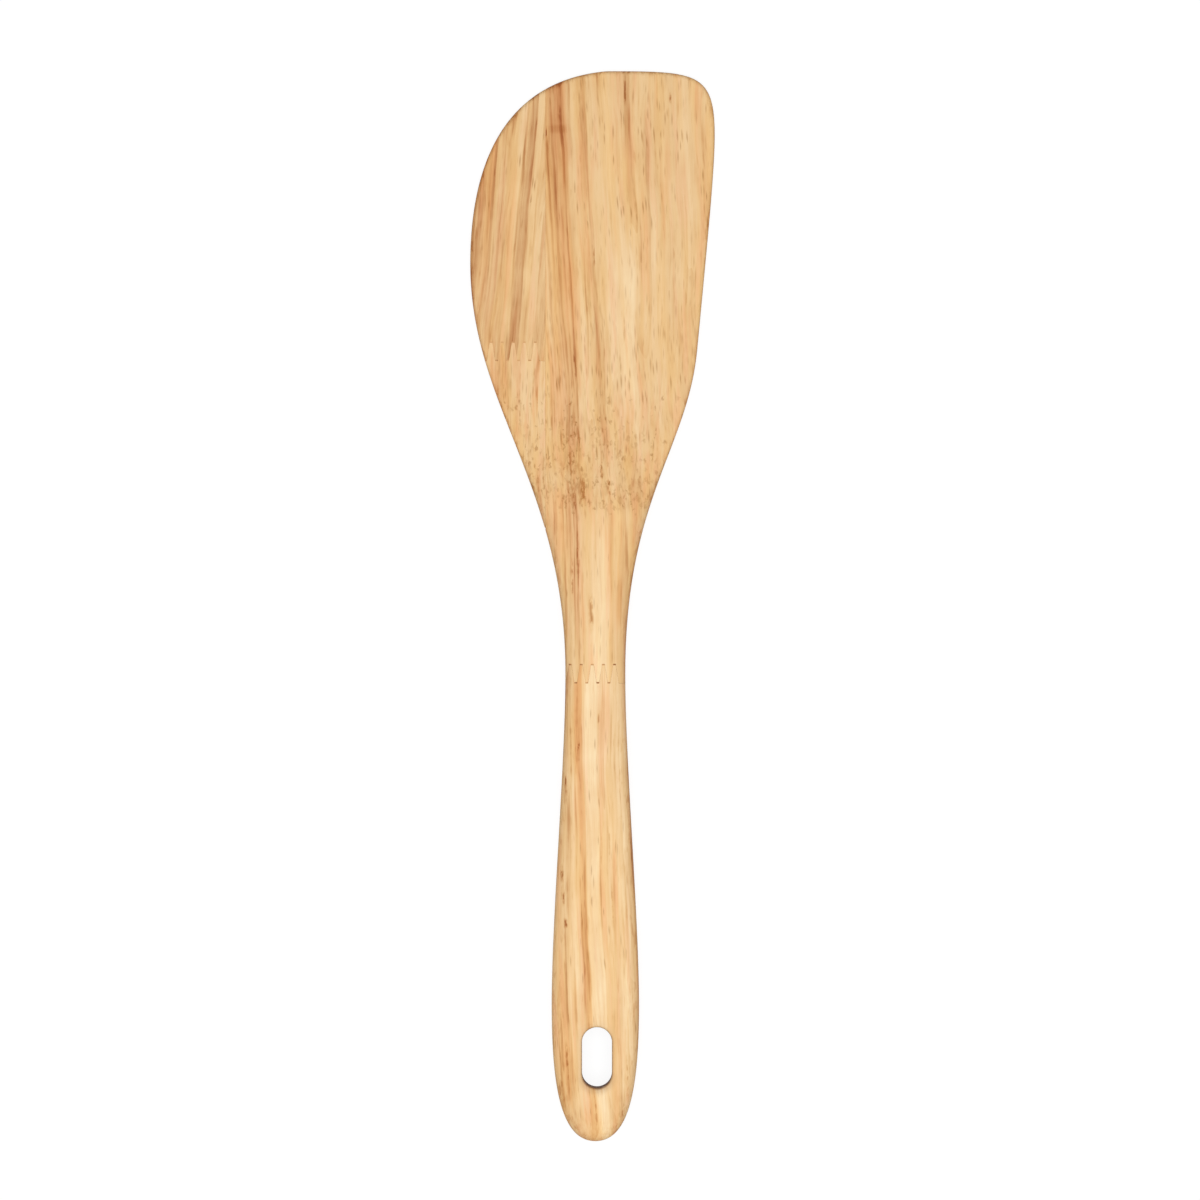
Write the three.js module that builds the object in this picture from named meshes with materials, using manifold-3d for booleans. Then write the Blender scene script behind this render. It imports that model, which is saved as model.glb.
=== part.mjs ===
// Wooden spatula, glued up from four staves and then shaped.
// Millimetres, +Z up. It lies on its back with the blade towards +Y, and its origin is the middle of its
// bounding box, on the surface that it lies on.
// The shaped body is made first. Each stave and each glue line is then what the body has inside the plan of
// that stave or glue line, just as the real blank is glued up before it is shaped.
import * as THREE from "three";
import { mergeVertices } from "three/addons/utils/BufferGeometryUtils.js";
import Module from "manifold-3d";

// Plan of the handle, from its centreline and from its butt end
const gripHalfWidth = 12.25;
const gripFromButt = 38;
const neckHalfWidth = 8.4;
const neckFromButt = 131;

// Plan of the blade: how far it reaches to each side of the handle's centreline, and where along its length
const bladeLength = 169;
const bladeLeftReach = 35.1;
const leftShoulderLength = 54;
const bladeRightReach = 33.5;
const rightCornerLength = 18;
const heelReach = 28.6;
const heelFromNeck = 91;
const heelLean = 0.094;
const tipOffset = 3;
const tipLean = 0.095;

// Pulls of the outline's curves: the length of each handle as a share of its own run
const buttEndPull = 0.77;
const buttSidePull = 0.62;
const gripPull = 0.27;
const neckPull = 0.27;
const leftFlarePull = 0.465;
const leftWidestPull = 0.35;
const leftShoulderPull = 0.44;
const leftTopPull = 0.82;
const rightFlarePull = 0.54;
const heelPull = 0.31;
const rightSidePull = 0.45;
const rightWidestPull = 0.175;
const rightTopPull = 0.83;

// Thicknesses, and the hollow that the front of the blade is cut to
const handleThickness = 11;
const tipThickness = 3;
const bladeTaper = 0.027;
const hollowFromNeck = 96;
const hollowRadius = 275;

// Rounding of the edges
const bladeEdgeRadius = 1.2;
const mostEdgeShare = 0.4;
const roundFullness = 2;
const handleEdgeLand = 0.6;
const handleFullness = 3;
const backFlatFromNeck = 84;
const backBlendLength = 50;
const shoulderSoftness = 0.6;

// Hanging slot through the grip
const slotWidth = 8.4;
const slotLength = 17;
const slotFromButt = 23.6;
const slotOffset = 0.45;

// Glue joints: one straight edge joint, and finger joints across the neck and across the left staves
const edgeJointOffset = -14;
const neckJointFromButt = 131;
const neckFingerOffset = 0.7;
const bladeJointFromNeck = 90.3;
const bladeFingerOffset = -18.4;
const fingerPitch = 3.1;
const fingerLength = 5.5;
const fingerTipWidth = 0.7;
const fingerTipPocket = 0.4;
const glueThickness = 0.1;
const glueClearance = 0.1;

// Fineness of the faceted surface, and how far the cutting prisms pass the body
const samplesPerCurve = 48;
const lengthwiseSteps = 80;
const lengthwiseCrowding = 1.6;
const crosswiseSteps = 14;
const crosswiseCrowding = 2.4;
const buttRowShare = 0.2;
const topRowShare = 0.6;
const slotArcSteps = 10;
const beyond = 5;

const wasm = await Module();
wasm.setup();

const length = neckFromButt + bladeLength;
const { clamp, lerp, smoothstep } = THREE.MathUtils;

// Adds a smooth run from a start to an end. Leave and arrive are how far it leans sideways there for each
// millimetre along the length.
function run(path, start, leave, leavePull, end, arrive, arrivePull) {
  const height = end.y - start.y;
  path.bezierCurveTo(
    start.x + leave * leavePull * height,
    start.y + leavePull * height,
    end.x - arrive * arrivePull * height,
    end.y - arrivePull * height,
    end.x,
    end.y,
  );
}

// One side of the handle, from the butt end to the neck: side is 1 on the right and -1 on the left.
function handleSide(side) {
  const grip = new THREE.Vector2(side * gripHalfWidth, gripFromButt);
  const neck = new THREE.Vector2(side * neckHalfWidth, neckFromButt);
  const path = new THREE.Path();
  path.moveTo(0, 0);
  path.bezierCurveTo(buttEndPull * grip.x, 0, grip.x, (1 - buttSidePull) * grip.y, grip.x, grip.y);
  run(path, grip, 0, gripPull, neck, 0, neckPull);
  return path;
}

// The left side: a long flare to the widest point, then the round shoulder up to the tip.
function leftSide() {
  const neck = new THREE.Vector2(-neckHalfWidth, neckFromButt);
  const widest = new THREE.Vector2(-bladeLeftReach, length - leftShoulderLength);
  const path = handleSide(-1);
  run(path, neck, 0, leftFlarePull, widest, 0, leftWidestPull);
  path.bezierCurveTo(
    widest.x,
    lerp(widest.y, length, leftShoulderPull),
    lerp(tipOffset, widest.x, leftTopPull),
    length - tipLean * leftTopPull * (tipOffset - widest.x),
    tipOffset,
    length,
  );
  return path;
}

// The right side: a flare to the heel, a nearly straight side, then the square corner and the top edge.
function rightSide() {
  const neck = new THREE.Vector2(neckHalfWidth, neckFromButt);
  const heel = new THREE.Vector2(heelReach, neckFromButt + heelFromNeck);
  const corner = new THREE.Vector2(bladeRightReach, length - rightCornerLength);
  const path = handleSide(1);
  run(path, neck, 0, rightFlarePull, heel, heelLean, heelPull);
  run(path, heel, heelLean, rightSidePull, corner, 0, rightWidestPull);
  const topPull = lerp(tipOffset, corner.x, rightTopPull);
  path.bezierCurveTo(corner.x, length, topPull, length, tipOffset, length);
  return path;
}

const left = leftSide().getPoints(samplesPerCurve);
const right = rightSide().getPoints(samplesPerCurve);

// How far from the centreline a side lies at a given height along the length.
function sideAt(points, y) {
  const next = clamp(points.findIndex((p) => p.y >= y), 1, points.length - 1);
  const a = points[next - 1];
  const b = points[next];
  return a.x + ((b.x - a.x) * (y - a.y)) / Math.max(b.y - a.y, 1e-9);
}

// Distance in plan from a point to the nearest stretch of the outline.
const onPlan = (point) => new THREE.Vector3(point.x, point.y, 0);
const stretches = [left, right].flatMap((side) =>
  side.slice(1).map((p, i) => new THREE.Line3(onPlan(side[i]), onPlan(p))),
);
function edgeDistance(point) {
  const here = onPlan(point);
  const nearest = new THREE.Vector3();
  return Math.min(
    ...stretches.map((s) => s.closestPointToPoint(here, true, nearest).distanceTo(here)),
  );
}

// How far a rounded edge falls away at a distance from the outline. Fullness 2 is round, and more is squarer.
function roundOver(distance, width, height, fullness) {
  const share = clamp(1 - distance / width, 0, 1);
  return height * (1 - (1 - share ** fullness) ** (1 / fullness));
}

// The smaller of two heights, with the corner between them rounded off.
function softMin(a, b, softness) {
  const overlap = Math.max(softness - Math.abs(a - b), 0);
  return Math.min(a, b) - overlap ** 2 / (4 * softness);
}

// Thickness of the blade from its back to its hollowed front, before its edges are rounded.
function bladeThickness(y) {
  const intoHollow = Math.max(neckFromButt + hollowFromNeck - y, 0);
  return tipThickness + bladeTaper * (length - y) + intoHollow ** 2 / (2 * hollowRadius);
}

// Width over which the handle's section is rounded: all of it, from its sides to its middle.
function crownWidth(y) {
  const half = (sideAt(right, y) - sideAt(left, y)) / 2;
  return y < gripFromButt ? gripHalfWidth : Math.min(half, gripHalfWidth);
}

const crownHeight = (handleThickness - handleEdgeLand) / 2;
const bladeEdge = (y) => Math.min(bladeEdgeRadius, mostEdgeShare * bladeThickness(y));

// Height of the front: the rounded handle, cut away by the hollow of the blade.
function front(point) {
  const distance = edgeDistance(point);
  const edge = bladeEdge(point.y);
  const crown = handleThickness - roundOver(distance, crownWidth(point.y), crownHeight, handleFullness);
  const hollow = bladeThickness(point.y) - roundOver(distance, edge, edge, roundFullness);
  return softMin(hollow, crown, shoulderSoftness);
}

// Height of the back: flat with small round edges behind the blade, as round as the front along the handle.
function back(point) {
  const edge = bladeEdge(point.y);
  const flatEnd = neckFromButt + backFlatFromNeck;
  const handle = smoothstep(flatEnd - point.y, 0, backBlendLength);
  return roundOver(
    edgeDistance(point),
    lerp(edge, crownWidth(point.y), handle),
    lerp(edge, crownHeight, handle),
    lerp(roundFullness, handleFullness, handle),
  );
}

// Shares from 0 to 1, crowded towards both ends.
function crowded(share, power) {
  return share < 0.5 ? 0.5 * (2 * share) ** power : 1 - 0.5 * (2 - 2 * share) ** power;
}

// Plan points in rows between the two sides. Near the ends the rows bow to follow the butt and the top edge.
function planGrid() {
  const buttRow = buttRowShare * gripFromButt;
  const topRow = length - topRowShare * rightCornerLength;
  const leftAt = (y) => new THREE.Vector2(sideAt(left, y), y);
  const rightAt = (y) => new THREE.Vector2(sideAt(right, y), y);
  const butt = new THREE.SplineCurve([
    leftAt(buttRow),
    ...left.filter((p) => p.y < buttRow).reverse(),
    ...right.filter((p) => p.y < buttRow).slice(1),
    rightAt(buttRow),
  ]);
  const top = new THREE.SplineCurve([
    leftAt(topRow),
    ...left.filter((p) => p.y > topRow),
    ...right.filter((p) => p.y > topRow).slice(0, -1).reverse(),
    rightAt(topRow),
  ]);
  const rows = [];
  for (let j = 0; j <= lengthwiseSteps; j++) {
    const y = lerp(buttRow, topRow, crowded(j / lengthwiseSteps, lengthwiseCrowding));
    const buttBow = 1 - smoothstep(y, buttRow, gripFromButt);
    const topBow = smoothstep(y, length - leftShoulderLength, topRow);
    const row = [];
    for (let i = 0; i <= crosswiseSteps; i++) {
      const across = crowded(i / crosswiseSteps, crosswiseCrowding);
      const straight = (end) => leftAt(end).lerp(rightAt(end), across);
      const point = straight(y);
      point.addScaledVector(butt.getPointAt(across).sub(straight(buttRow)), buttBow);
      point.addScaledVector(top.getPointAt(across).sub(straight(topRow)), topBow);
      row.push(point);
    }
    rows.push(row);
  }
  return rows;
}

// A closed surface: the front over the plan grid, the back under it, and the narrow land of the edge between.
function bodyGeometry() {
  const rows = planGrid();
  const wide = crosswiseSteps + 1;
  const layer = rows.length * wide;
  const positions = [];
  for (const height of [back, front])
    for (const row of rows) for (const p of row) positions.push(p.x, p.y, height(p));
  const index = [];
  const quad = (a, b, c, d) => index.push(a, b, c, a, c, d);
  for (let j = 0; j < rows.length - 1; j++)
    for (let i = 0; i < crosswiseSteps; i++) {
      const a = j * wide + i;
      quad(a, a + wide, a + wide + 1, a + 1);
      quad(layer + a, layer + a + 1, layer + a + wide + 1, layer + a + wide);
    }
  const wall = (a, b) => quad(a, b, layer + b, layer + a);
  for (let i = 0; i < crosswiseSteps; i++) {
    const last = layer - wide;
    wall(i, i + 1);
    wall(last + i + 1, last + i);
  }
  for (let j = 0; j < rows.length - 1; j++) {
    wall((j + 1) * wide, j * wide);
    wall(j * wide + crosswiseSteps, (j + 1) * wide + crosswiseSteps);
  }
  const geometry = new THREE.BufferGeometry();
  geometry.setAttribute("position", new THREE.Float32BufferAttribute(positions, 3));
  geometry.setIndex(index);
  return geometry;
}

// A geometry's closed surface as a solid that can be cut.
function solid(geometry) {
  geometry.deleteAttribute("normal");
  geometry.deleteAttribute("uv");
  const merged = mergeVertices(geometry);
  return new wasm.Manifold(
    new wasm.Mesh({
      numProp: 3,
      vertProperties: merged.attributes.position.array,
      triVerts: new Uint32Array(merged.index.array),
    }),
  );
}

// An upright prism on a plan shape, passing through the whole thickness.
function prism(shape) {
  const geometry = new THREE.ExtrudeGeometry(shape, {
    depth: handleThickness + 2 * beyond,
    bevelEnabled: false,
    curveSegments: slotArcSteps,
  });
  geometry.translate(0, 0, -beyond);
  return solid(geometry);
}

// Plan of the hanging slot: straight sides with round ends.
function slotShape() {
  const radius = slotWidth / 2;
  const arm = slotLength / 2 - radius;
  const shape = new THREE.Shape();
  shape.absarc(slotOffset, slotFromButt + arm, radius, 0, Math.PI);
  shape.absarc(slotOffset, slotFromButt - arm, radius, Math.PI, 2 * Math.PI);
  return shape;
}

// Limits of the cutting prisms, clear of the body on every side
const farLeft = -bladeLeftReach - gripHalfWidth - beyond;
const farRight = bladeRightReach + gripHalfWidth + beyond;
const farButt = -beyond;
const farTip = length + beyond;

// Half of a glue line, and how far the wood keeps from the line's middle
const glueHalf = glueThickness / 2;
const woodGap = glueHalf + glueClearance;

// One edge of a finger joint, from left to right. Shift moves it towards the tip, so that the fingers under it
// get wider. Low and high are where the fingers end, from the middle of the joint. Only whole fingers are cut:
// outside them the edge runs straight out, so that no loose chip is left where the outline slants.
function fingerEdge(joint, shift, low, high) {
  const taper = fingerPitch / 2 - fingerTipWidth;
  const slant = Math.hypot(taper, fingerLength) / fingerLength;
  const halfWidth = (height) =>
    fingerTipWidth / 2 + taper * (0.5 - height / fingerLength) + shift * slant;
  const fromOffset = (x) => (x - joint.offset) / fingerPitch;
  const points = [new THREE.Vector2(farLeft, joint.y + low)];
  for (let k = Math.ceil(fromOffset(joint.from)); k + 1 <= fromOffset(joint.to); k++) {
    const x = joint.offset + (k + 0.5) * fingerPitch;
    points.push(
      new THREE.Vector2(x - halfWidth(low), joint.y + low),
      new THREE.Vector2(x - halfWidth(high), joint.y + high),
      new THREE.Vector2(x + halfWidth(high), joint.y + high),
      new THREE.Vector2(x + halfWidth(low), joint.y + low),
    );
  }
  points.push(new THREE.Vector2(farRight, joint.y + low));
  return points;
}

// The wood above and below a finger joint, and the glue between, which also fills the pockets at the tips.
function fingerJoint(joint) {
  const end = fingerLength / 2;
  const pocketed = end - fingerTipPocket;
  const tipCorners = [new THREE.Vector2(farRight, farTip), new THREE.Vector2(farLeft, farTip)];
  const buttCorners = [new THREE.Vector2(farRight, farButt), new THREE.Vector2(farLeft, farButt)];
  const glueTop = fingerEdge(joint, glueHalf, -pocketed - glueClearance, end - glueClearance);
  const glueBottom = fingerEdge(joint, -glueHalf, glueClearance - end, pocketed + glueClearance);
  return {
    above: prism(new THREE.Shape([...fingerEdge(joint, woodGap, -pocketed, end), ...tipCorners])),
    below: prism(new THREE.Shape([...fingerEdge(joint, -woodGap, -end, pocketed), ...buttCorners])),
    glue: prism(new THREE.Shape([...glueTop, ...glueBottom.reverse()])),
  };
}

// The strip of plan between two lines along the length.
function strip(from, to) {
  const corners = [
    [from, farButt],
    [to, farButt],
    [to, farTip],
    [from, farTip],
  ];
  return prism(new THREE.Shape(corners.map(([x, y]) => new THREE.Vector2(x, y))));
}

// What lies on each side of each joint
const leftOfEdge = strip(farLeft, edgeJointOffset - woodGap);
const rightOfEdge = strip(edgeJointOffset + woodGap, farRight);
const edgeGlue = strip(edgeJointOffset - glueHalf, edgeJointOffset + glueHalf);
const neckJointLow = neckJointFromButt - fingerLength / 2;
const bladeJointY = neckFromButt + bladeJointFromNeck;
const neck = fingerJoint({
  y: neckJointFromButt,
  offset: neckFingerOffset,
  from: sideAt(left, neckJointLow),
  to: sideAt(right, neckJointLow),
});
const blade = fingerJoint({
  y: bladeJointY,
  offset: bladeFingerOffset,
  from: sideAt(left, bladeJointY - fingerLength / 2),
  to: edgeJointOffset,
});
const body = solid(bodyGeometry()).subtract(prism(slotShape()));
const aboveNeck = body.intersect(neck.above);

// The group is moved so that the middle of the bounding box is at the origin.
const blank = new THREE.Group();
blank.position.set((bladeLeftReach - bladeRightReach) / 2, -length / 2, 0);

// Adds a piece of the body to the blank as a named mesh of its own colour and roughness.
function piece(name, shape, color, roughness) {
  const made = shape.getMesh();
  const geometry = new THREE.BufferGeometry();
  geometry.setAttribute("position", new THREE.BufferAttribute(made.vertProperties, 3));
  geometry.setIndex(new THREE.BufferAttribute(made.triVerts, 1));
  geometry.computeVertexNormals();
  const mesh = new THREE.Mesh(geometry, new THREE.MeshStandardMaterial({ color, roughness, metalness: 0 }));
  mesh.name = name;
  blank.add(mesh);
}

piece("blade_main_stave", aboveNeck.intersect(rightOfEdge), 0xe9bf8c, 0.55);
piece("blade_left_upper_stave", aboveNeck.intersect(leftOfEdge).intersect(blade.above), 0xe2b584, 0.55);
piece("blade_left_lower_stave", aboveNeck.intersect(leftOfEdge).intersect(blade.below), 0xebbe8b, 0.55);
piece("handle_stave", body.intersect(neck.below), 0xf0c490, 0.55);
piece("edge_glue_line", aboveNeck.intersect(edgeGlue), 0xb07a45, 0.5);
piece("blade_finger_glue_line", aboveNeck.intersect(leftOfEdge).intersect(blade.glue), 0x8a5a30, 0.5);
piece("neck_finger_glue_line", body.intersect(neck.glue), 0x8a5a30, 0.5);

const spatula = new THREE.Group();
spatula.add(blank);
export default spatula;
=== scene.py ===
import math

import bpy
import numpy as np
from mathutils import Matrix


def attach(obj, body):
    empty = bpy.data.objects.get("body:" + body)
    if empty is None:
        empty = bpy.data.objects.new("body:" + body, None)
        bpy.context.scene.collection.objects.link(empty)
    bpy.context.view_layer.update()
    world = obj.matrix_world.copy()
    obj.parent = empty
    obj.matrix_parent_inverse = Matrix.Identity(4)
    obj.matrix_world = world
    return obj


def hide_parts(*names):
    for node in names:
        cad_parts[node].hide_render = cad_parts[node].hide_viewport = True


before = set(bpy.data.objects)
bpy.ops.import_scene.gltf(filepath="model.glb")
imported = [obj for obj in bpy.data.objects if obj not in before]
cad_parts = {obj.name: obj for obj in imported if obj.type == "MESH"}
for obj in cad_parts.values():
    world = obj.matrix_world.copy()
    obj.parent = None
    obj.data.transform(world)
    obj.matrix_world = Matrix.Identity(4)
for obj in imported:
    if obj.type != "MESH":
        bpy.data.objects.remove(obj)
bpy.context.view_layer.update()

# Main stave: one rubberwood board, the right two thirds of the blade and the whole neck.
# It is finger-jointed to the handle and edge-glued to the left staves. The glued-up blank is then sawn to its
# outline, hollowed on the front, rounded over and sanded, so all staves share one rim and two faces.
grip = np.array([12.25, 38.0])
neck = np.array([8.4, 131.0])
left_widest = np.array([-35.1, 246.0])
heel = np.array([28.6, 222.0])
right_corner = np.array([33.5, 282.0])
tip = np.array([3.0, 300.0])
middle_of_box = np.array([-0.8, 150.0])
wood_gap = 0.02
edge_joint_x = -14.0
neck_joint_y = 131.0
neck_finger_offset = 0.7
finger_end = 2.75
finger_pocket = 0.4
foot_gap = 0.05
curve_points = 65


def bend(start, start_pull, end_pull, end):
    """Cubic Bezier curve: its four points weighted by the Bernstein polynomials of the share t."""
    t = np.linspace(0, 1, curve_points)[:, None]
    s = 1 - t
    return s**3 * start + 3 * t * s**2 * start_pull + 3 * t**2 * s * end_pull + t**3 * end


def run(start, leave, leave_pull, end, arrive, arrive_pull):
    """Curve between two points of the rim. At its ends it leans sideways by leave and arrive for each
    millimetre along the length, and each pull is that end's handle as a share of the run."""
    rise = end[1] - start[1]
    start_pull = start + leave_pull * rise * np.array([leave, 1])
    end_pull = end - arrive_pull * rise * np.array([arrive, 1])
    return bend(start, start_pull, end_pull, end)


def handle_side(side):
    """One side of the handle from the butt to the neck: a round end out to the grip, then a long taper."""
    mirror = np.array([side, 1])
    widest = grip * mirror
    butt_pull, grip_pull, taper_pull = 0.77, 0.38, 0.27
    butt_end = bend(np.zeros(2), widest * [butt_pull, 0], widest * [1, grip_pull], widest)
    return np.concatenate([butt_end, run(widest, 0, taper_pull, neck * mirror, 0, taper_pull)[1:]])


heel_lean = 0.094
top_slope = 0.095
shoulder_pull = np.array([left_widest[0], left_widest[1] + 0.44 * (tip[1] - left_widest[1])])
top_left_pull = tip + 0.82 * (left_widest[0] - tip[0]) * np.array([1, top_slope])
top_right_pull = np.array([tip[0] + 0.83 * (right_corner[0] - tip[0]), tip[1]])
left_rim = np.concatenate([
    handle_side(-1),
    run(neck * [-1, 1], 0, 0.465, left_widest, 0, 0.35)[1:],
    bend(left_widest, shoulder_pull, top_left_pull, tip)[1:],
])
right_rim = np.concatenate([
    handle_side(1),
    run(neck, 0, 0.54, heel, heel_lean, 0.31)[1:],
    run(heel, heel_lean, 0.45, right_corner, 0, 0.175)[1:],
    bend(right_corner, np.array([right_corner[0], tip[1]]), top_right_pull, tip)[1:],
])


def rim_x(rim, y):
    """Sideways place of one side of the rim at each height along the length."""
    return np.interp(y, rim[:, 1], rim[:, 0])


def rim_distance(plan):
    """Distance in plan to the rim: the least distance to any of its short straight stretches, each
    measured to the nearest point of the stretch."""
    nearest = np.full(plan.shape[:-1], np.inf)
    for rim in (left_rim, right_rim):
        for start, end in zip(rim[:-1], rim[1:]):
            along = end - start
            share = np.clip((plan - start) @ along / (along @ along), 0, 1)
            off = plan - start - share[..., None] * along
            nearest = np.minimum(nearest, np.hypot(off[..., 0], off[..., 1]))
    return nearest


def smooth_step(value, low, high):
    """Rises from 0 at low to 1 at high as 3t squared less 2t cubed."""
    t = np.clip((value - low) / (high - low), 0, 1)
    return t * t * (3 - 2 * t)


def round_over(distance, width, height, fullness):
    """How far a rounded edge falls away: a quarter superellipse of that width and height from the rim
    inwards. Fullness 2 is round, and more is squarer."""
    share = np.clip(1 - distance / width, 0, 1)
    return height * (1 - (1 - share**fullness) ** (1 / fullness))


tip_thickness = 3.0
blade_taper = 0.027
hollow_start = 227.0
hollow_radius = 275.0


def blade_thickness(y):
    """Thickness of the blade: that of the tip, an even taper, and below its start a hollow, as the
    parabola of its radius."""
    taper = blade_taper * (tip[1] - y)
    hollow = np.maximum(hollow_start - y, 0) ** 2 / (2 * hollow_radius)
    return tip_thickness + taper + hollow


sanded_radius = 1.2
most_of_thickness = 0.4


def blade_edge(y):
    """Radius of the blade's sanded edge, kept within a share of the thickness."""
    return np.minimum(sanded_radius, most_of_thickness * blade_thickness(y))


def crown_width(y):
    """Width over which the handle's section is rounded: from each side to its middle."""
    half = (rim_x(right_rim, y) - rim_x(left_rim, y)) / 2
    return np.where(y < grip[1], grip[0], np.minimum(half, grip[0]))


handle_thickness = 11.0
crown_height = 5.2
edge_fullness = 2
crown_fullness = 3


def front_height(plan):
    """Height of the front: the rounded handle or the hollowed blade, whichever is lower, with the corner
    between them softened by a parabola."""
    y = plan[..., 1]
    distance = rim_distance(plan)
    edge = blade_edge(y)
    hollow = blade_thickness(y) - round_over(distance, edge, edge, edge_fullness)
    crown = handle_thickness - round_over(distance, crown_width(y), crown_height, crown_fullness)
    softness = 0.6
    overlap = np.maximum(softness - np.abs(hollow - crown), 0)
    return np.minimum(hollow, crown) - overlap**2 / (4 * softness)


crown_end = 215.0
crown_run = 50.0


def back_height(plan):
    """Height of the back: flat with small round edges at the blade, as round as the front at the handle."""
    y = plan[..., 1]
    edge = blade_edge(y)
    handle = smooth_step(crown_end - y, 0, crown_run)
    width = edge + handle * (crown_width(y) - edge)
    height = edge + handle * (crown_height - edge)
    fullness = edge_fullness + handle * (crown_fullness - edge_fullness)
    return round_over(rim_distance(plan), width, height, fullness)


def crowded(count, low_end=True, high_end=True, power=2.2):
    """Shares from 0 to 1, crowded by a power law towards the chosen ends, where the edges are rounded."""
    s = np.linspace(0, 1, count + 1)
    if low_end and high_end:
        return np.where(s < 0.5, 0.5 * (2 * s) ** power, 1 - 0.5 * (2 - 2 * s) ** power)
    return s**power if low_end else 1 - (1 - s) ** power


slip = 1e-6


def share_between(left, right, edge, height):
    """Shares across a row of the corners that a finger joint's edge has at the row's height."""
    at_row = edge[np.abs(edge[:, 1] - height) < slip, 0]
    return (at_row - left[0]) / (right[0] - left[0])


def with_corners(shares, corners):
    """Shares across a stave with the finger corners put in, in place of any that lie too near them."""
    too_near, at_rim = 0.004, 0.001
    near = np.abs(shares[:, None] - corners).min(1) < too_near
    near[[0, -1]] = False
    inside = corners[(corners > at_rim) & (corners < 1 - at_rim)]
    return np.sort(np.concatenate([shares[~near], inside]))


def along(points, shares):
    """Points at shares of the way along a bent line, by length."""
    reach = np.concatenate([[0], np.cumsum(np.hypot(*np.diff(points, axis=0).T))])
    at = shares * reach[-1]
    return np.stack([np.interp(at, reach, points[:, 0]), np.interp(at, reach, points[:, 1])], -1)


def rows_up(even_share, even_rows, top_rows):
    """Shares up a stave: even steps over its first share, then steps crowded by a power law to the top."""
    crowding = 1.8
    to_top = np.linspace(1, 0, top_rows)[1:] ** crowding
    return np.concatenate([np.linspace(0, even_share, even_rows), 1 - (1 - even_share) * to_top])


def plan_at(x, y):
    """Plan points from sideways places, or one for all, and heights along the length."""
    return np.stack(np.broadcast_arrays(x, y), -1)


def ruled(left_edge, right_edge, across):
    """Plan grid of straight rows between two edges, each point at its share of the way across."""
    return left_edge[:, None] + across[None, :, None] * (right_edge - left_edge)[:, None]


def finger_edge(middle, offset, start, end, above):
    """Corners of one edge of a finger joint, from left to right, on the piece above the joint or on the
    one below. Fingers one pitch apart narrow evenly from their valleys to their peaks. The two edges are
    two gaps apart, with a pocket at each finger's tip. A finger is cut where all but a tenth of its pitch
    is inside, and the edge is straight outside the fingers."""
    pitch, length, tip_width, spare, lip = 3.1, 2 * finger_end, 0.7, 0.1, 0.15
    shift = wood_gap if above else -wood_gap
    valley = finger_pocket - finger_end if above else -finger_end
    peak = finger_end if above else finger_end - finger_pocket
    outside = foot_gap - finger_end if above else -finger_end
    taper = pitch / 2 - tip_width
    slant = math.hypot(taper, length) / length

    def half(height):
        return tip_width / 2 + taper * (0.5 - height / length) + shift * slant

    first = math.ceil((start - offset) / pitch - spare)
    past_last = math.floor((end - offset) / pitch + spare)
    x = offset + pitch * (0.5 + np.arange(first, past_last))
    sides = np.stack([x - half(valley), x - half(peak), x + half(peak), x + half(valley)], 1)
    heights = np.broadcast_to([valley, peak, peak, valley], sides.shape)
    fingers = np.stack([sides, heights], -1).reshape(-1, 2)
    before = [[start, outside], [fingers[0, 0] - lip, outside]]
    after = [[fingers[-1, 0] + lip, outside], [end, outside]]
    return np.concatenate([before, fingers, after]) + [0, middle]


def flank(start, end):
    """One side of a finger: even steps from one corner to the other."""
    steps = 5
    return start + np.linspace(0, 1, steps + 1)[:, None] * (end - start)


def tooth(row, left_side, right_side):
    """Patch of one finger: straight rows between its sides, with the columns of the row it grows from."""
    low, high = left_side[0, 0], right_side[0, 0]
    shares = (row[:, 0] - low) / (high - low)
    return ruled(left_side, right_side, shares[(shares > -slip) & (shares < 1 + slip)])


def hanging_fingers(row, edge, left_of, right_of):
    """Patches that hang from a row between the other piece's fingers, with one at each side out to the
    places that left_of and right_of give for a height along the length."""
    fingers = edge[2:-2].reshape(-1, 4, 2)
    first = np.concatenate([flank(fingers[0, 1], fingers[0, 0]), edge[1:2]])
    last = np.concatenate([flank(fingers[-1, 2], fingers[-1, 3]), edge[-2:-1]])
    between = [tooth(row, flank(f[2], f[3]), flank(g[1], g[0])) for f, g in zip(fingers[:-1], fingers[1:])]
    return [
        tooth(row, plan_at(left_of(first[:, 1]), first[:, 1]), first),
        *between,
        tooth(row, last, plan_at(right_of(last[:, 1]), last[:, 1])),
    ]


mm_per_m = 1000
welds_per_mm = 1e5
sharp_from = math.radians(40)


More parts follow.
